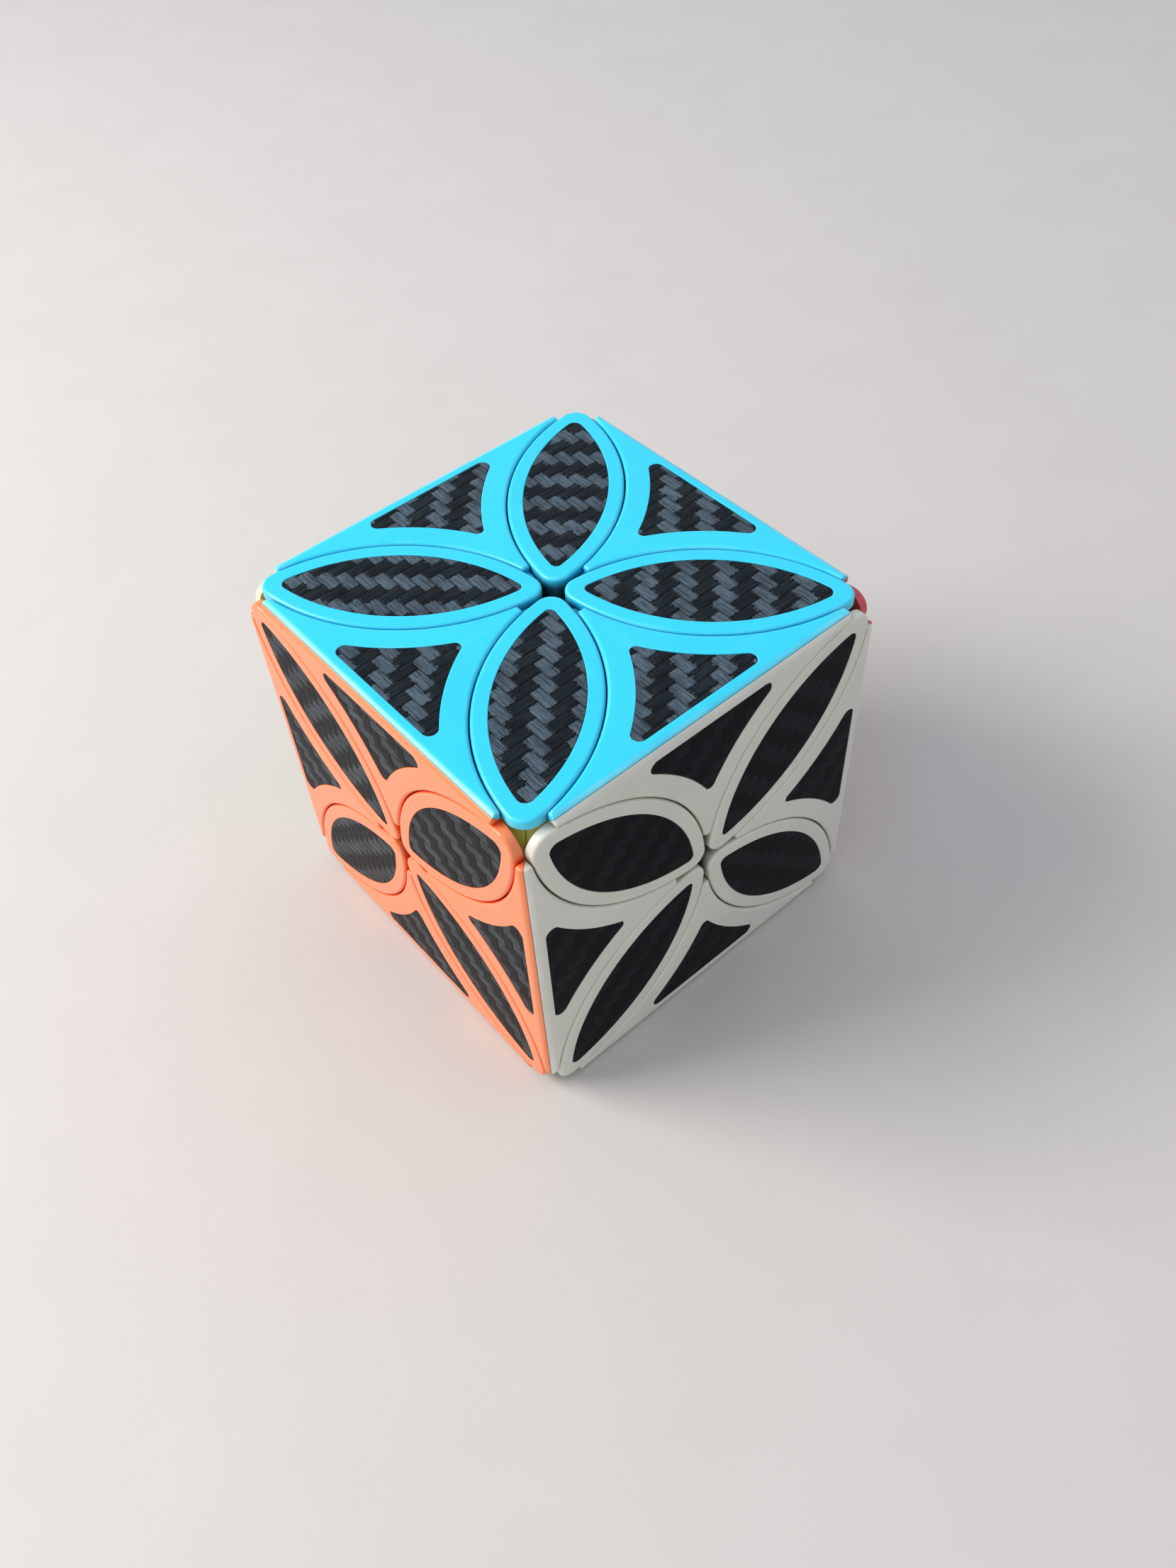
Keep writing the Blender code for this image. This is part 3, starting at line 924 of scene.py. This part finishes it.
FLOOR_SIZE = (6.0, 6.0, 0.01)
FLOOR_COLOURS = (0.60, 0.565, 0.53), (0.64, 0.605, 0.57)
WINDOW_PLACE = Vector((-0.35, -0.42, 0.434))
WINDOW_SIZE = (0.4, 0.32)
WINDOW_POWER = 4.8
WINDOW_COLOUR = (1.0, 0.97, 0.93)
ROOM_COLOUR = (0.85, 0.90, 1.0, 1)
ROOM_STRENGTH = 0.72
CAMERA_PLACE = Vector((1.7416, -1.2912, 2.4280)) * SIDE
CAMERA_AIM = Vector((0.0971, -0.0167, -0.0724)) * SIDE
CAMERA_ROLL = math.radians(-3.974)
CAMERA_LENS = 30.235


def aimed_object(name, data, place, aim, roll=0.0):
    """A light or camera that looks from one place at another."""
    obj = add_object(name, data)
    obj.location = place
    obj.rotation_mode = "QUATERNION"
    obj.rotation_quaternion = (aim - place).to_track_quat("-Z", "Y") @ Quaternion((0, 0, 1), roll)
    return obj


def floor():
    mesh = box_mesh("floor", FLOOR_SIZE)
    slab = add_object("floor", mesh)
    slab.location = (0, 0, cad_low.z - FLOOR_SIZE[2] / 2)
    n = Nodes("floor")
    place = n.place()
    n.set(Base_Color=n.mix(n.noise(place, 60, 4), *FLOOR_COLOURS), Roughness=0.6)
    n.set(Normal=n.bump(n.noise(place, 1500, 3), 0.05 * MM, 0.3))
    mesh.materials.append(n.material)


def lights():
    window = bpy.data.lights.new("window", "AREA")
    window.shape = "RECTANGLE"
    window.size, window.size_y = WINDOW_SIZE
    window.energy = WINDOW_POWER
    window.color = WINDOW_COLOUR
    aimed_object("window", window, WINDOW_PLACE, Vector())
    room = bpy.data.worlds.new("room")
    room.use_nodes = True
    background = room.node_tree.nodes["Background"]
    background.inputs["Color"].default_value = ROOM_COLOUR
    background.inputs["Strength"].default_value = ROOM_STRENGTH
    bpy.context.scene.world = room
    bpy.context.scene.view_settings.view_transform = "Standard"


def camera():
    data = bpy.data.cameras.new("camera")
    data.lens = CAMERA_LENS
    data.sensor_width = 36
    data.clip_start = 0.005
    bpy.context.scene.camera = aimed_object("camera", data, CAMERA_PLACE, CAMERA_AIM, CAMERA_ROLL)


build_cube()
floor()
lights()
camera()
